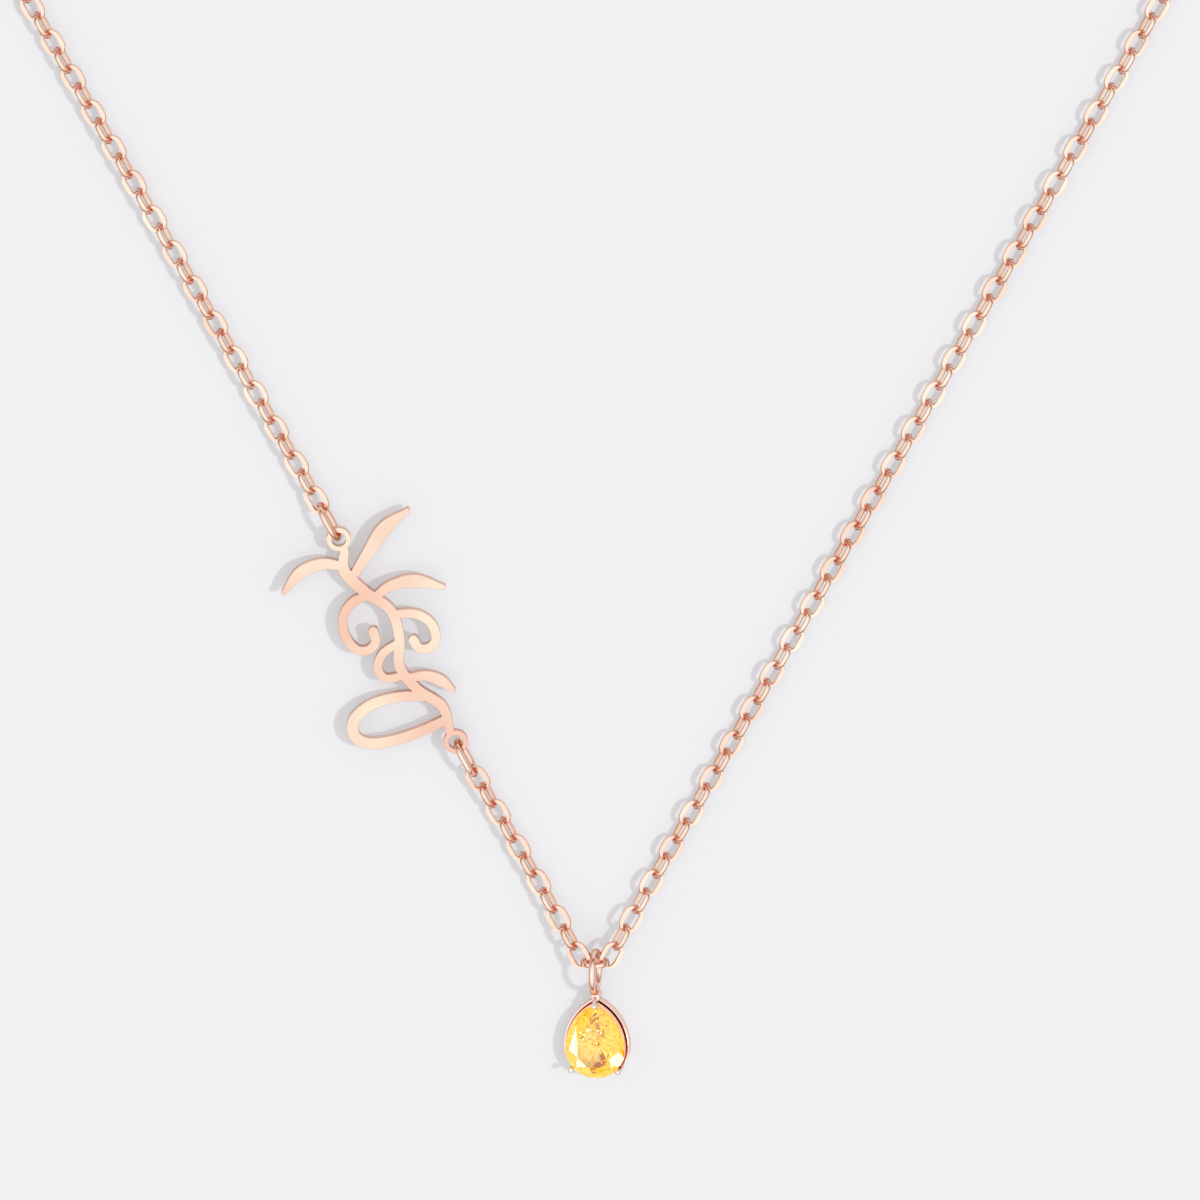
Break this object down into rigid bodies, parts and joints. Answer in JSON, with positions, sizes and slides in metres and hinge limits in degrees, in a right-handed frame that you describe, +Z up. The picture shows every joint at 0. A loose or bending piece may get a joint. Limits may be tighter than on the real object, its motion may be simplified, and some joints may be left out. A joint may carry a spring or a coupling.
{
  "type": "nameplate necklace",
  "caption": "Necklace laid flat: a cable chain of oval links, a pierced plate held in its left side, and a pear stone in a pronged drop on a round bail.",
  "frame": {"origin": "centre of the base of the whole necklace's bounding box, on the surface that it lies on", "axes": "+Z up from the surface, +Y from the drop to the clasp, +X to the right as seen from above"},
  "size_m": [0.118, 0.1882, 0.0042],
  "materials": {
    "rose_gold": "polished rose gold plating",
    "yellow_stone": "faceted and clear, deep yellow"
  },
  "bodies": {
    "root": {"left_chain": "rose_gold", "lower_left_chain": "rose_gold", "right_chain": "rose_gold", "middle_link": "rose_gold", "upper_jump_ring": "rose_gold", "lower_jump_ring": "rose_gold", "name_plate": "rose_gold", "setting": "rose_gold", "stone": "yellow_stone", "clasp": "rose_gold"}
  },
  "joints": []
}
